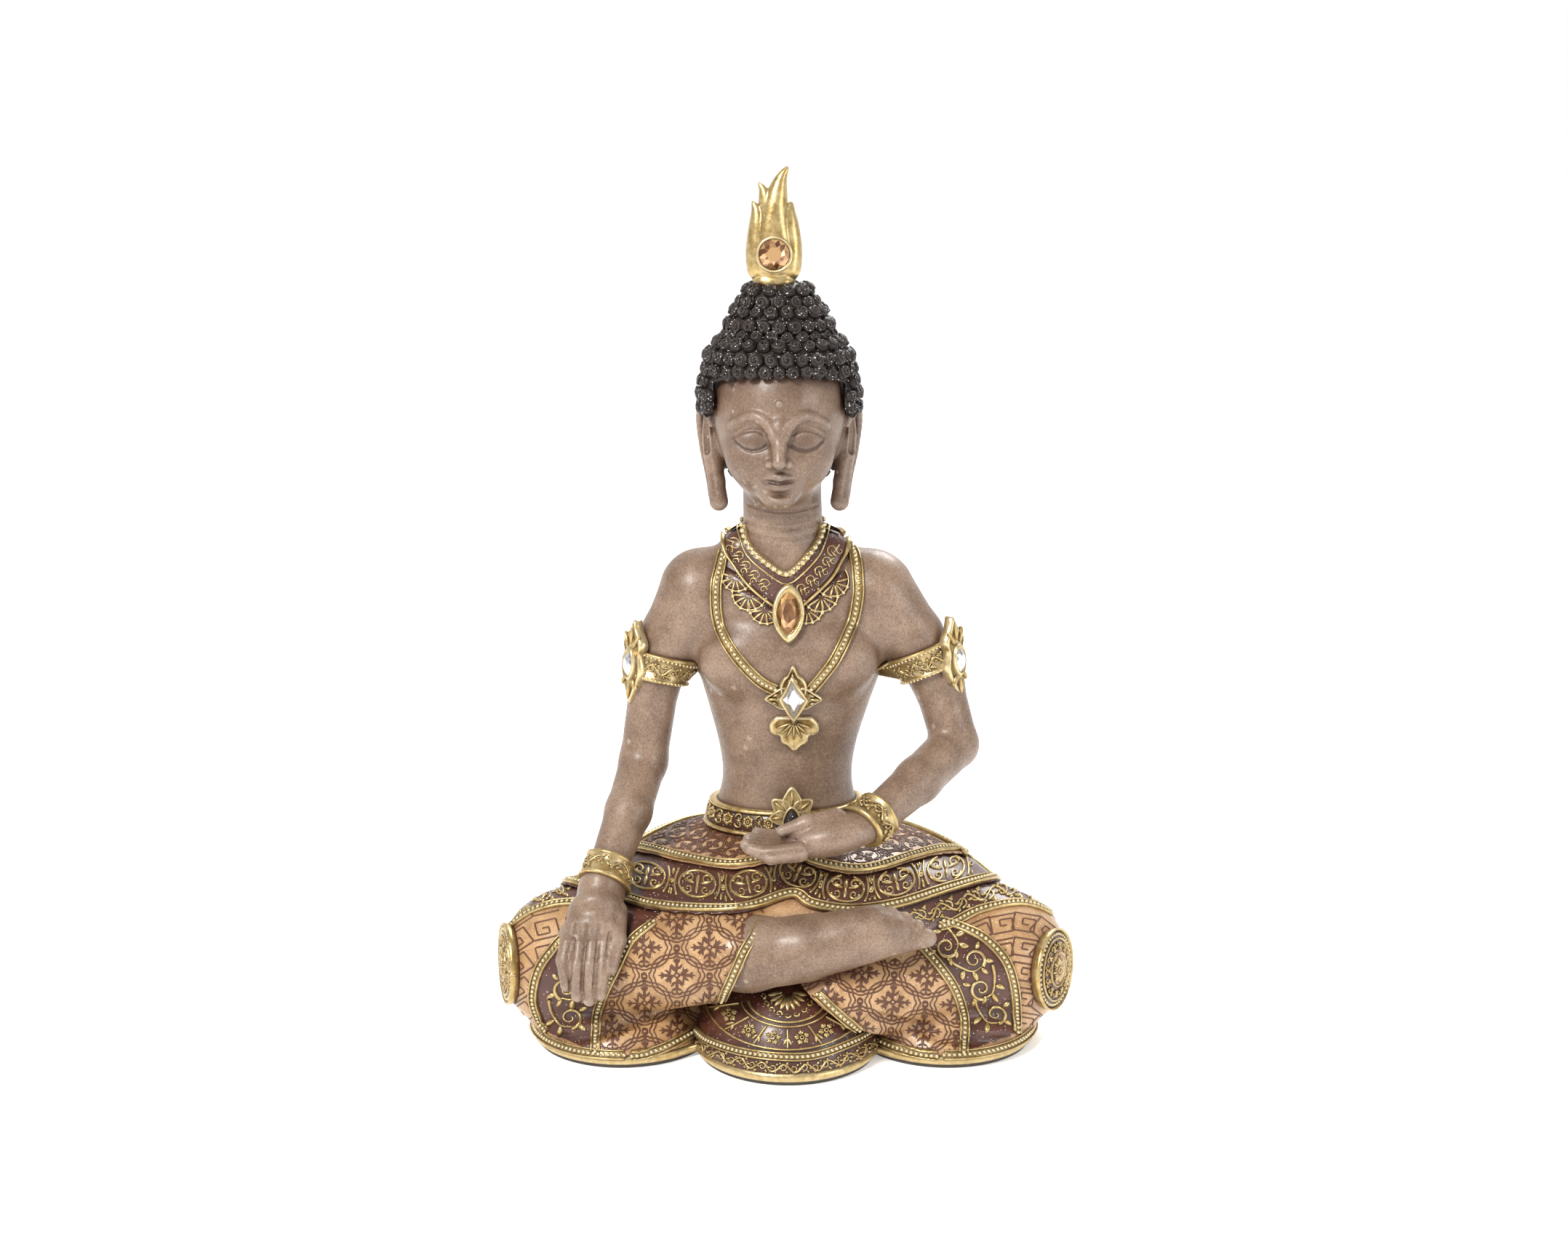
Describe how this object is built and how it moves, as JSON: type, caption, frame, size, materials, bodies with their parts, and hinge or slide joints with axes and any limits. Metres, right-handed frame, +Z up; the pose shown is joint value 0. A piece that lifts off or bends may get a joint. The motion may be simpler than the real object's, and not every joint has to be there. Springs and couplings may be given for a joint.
{
  "type": "buddha statue",
  "caption": "Small seated buddha figurine with one hand over the knee and one palm up in the lap, knotted curls, flame finial, jewelled collar and layered patterned cloth.",
  "frame": {"origin": "on the resting plane, at the centre of the bounding footprint, under the lap", "axes": "+Z up, -Y the front that the face looks towards, +X the figure's left; the figure is tallest along Z and shallowest along Y"},
  "size_m": [0.16, 0.1, 0.24],
  "materials": {
    "skin_paint": "satin painted resin",
    "garment_paint": "painted resin with fine glitter",
    "maroon_paint": "painted resin with fine glitter",
    "hair_paint": "painted resin with fine glitter",
    "antique_gilt": "metallic gold paint over resin, brown wash in the hollows",
    "topaz_stone": "faceted, foil backed",
    "clear_stone": "faceted, foil backed",
    "felt": "felt",
    "dowel_steel": "plain",
    "plug_plastic": "plain"
  },
  "bodies": {
    "root": {"base_felt": "felt", "belt_buckle": "antique_gilt", "chest_pendant": "antique_gilt", "collar": "antique_gilt", "collar_stone": "topaz_stone", "collar_stone_setting": "antique_gilt", "finial_stone": "topaz_stone", "flame_finial": "antique_gilt", "front_apron": "maroon_paint", "hair_cap": "hair_paint", "head_casting": "skin_paint", "hem_rim": "antique_gilt", "left_arm": "skin_paint", "left_armlet": "antique_gilt", "left_armlet_plaque": "antique_gilt", "left_armlet_stone": "clear_stone", "left_bracelet": "antique_gilt", "left_hem_drape": "garment_paint", "left_knee_medallion": "antique_gilt", "leg_casting": "garment_paint", "long_chain": "antique_gilt", "neck_dowel": "dowel_steel", "pendant_stone": "clear_stone", "right_arm": "skin_paint", "right_armlet": "antique_gilt", "right_armlet_plaque": "antique_gilt", "right_armlet_stone": "clear_stone", "right_bracelet": "antique_gilt", "right_foot": "skin_paint", "right_hem_drape": "garment_paint", "right_knee_medallion": "antique_gilt", "seat_hem_drape": "garment_paint", "shoulder_dowels": "dowel_steel", "skirt_lower_tier": "maroon_paint", "skirt_upper_tier": "garment_paint", "torso_casting": "skin_paint", "vent_plug": "plug_plastic", "waist_belt": "antique_gilt", "waist_dowel": "dowel_steel"}
  },
  "joints": []
}
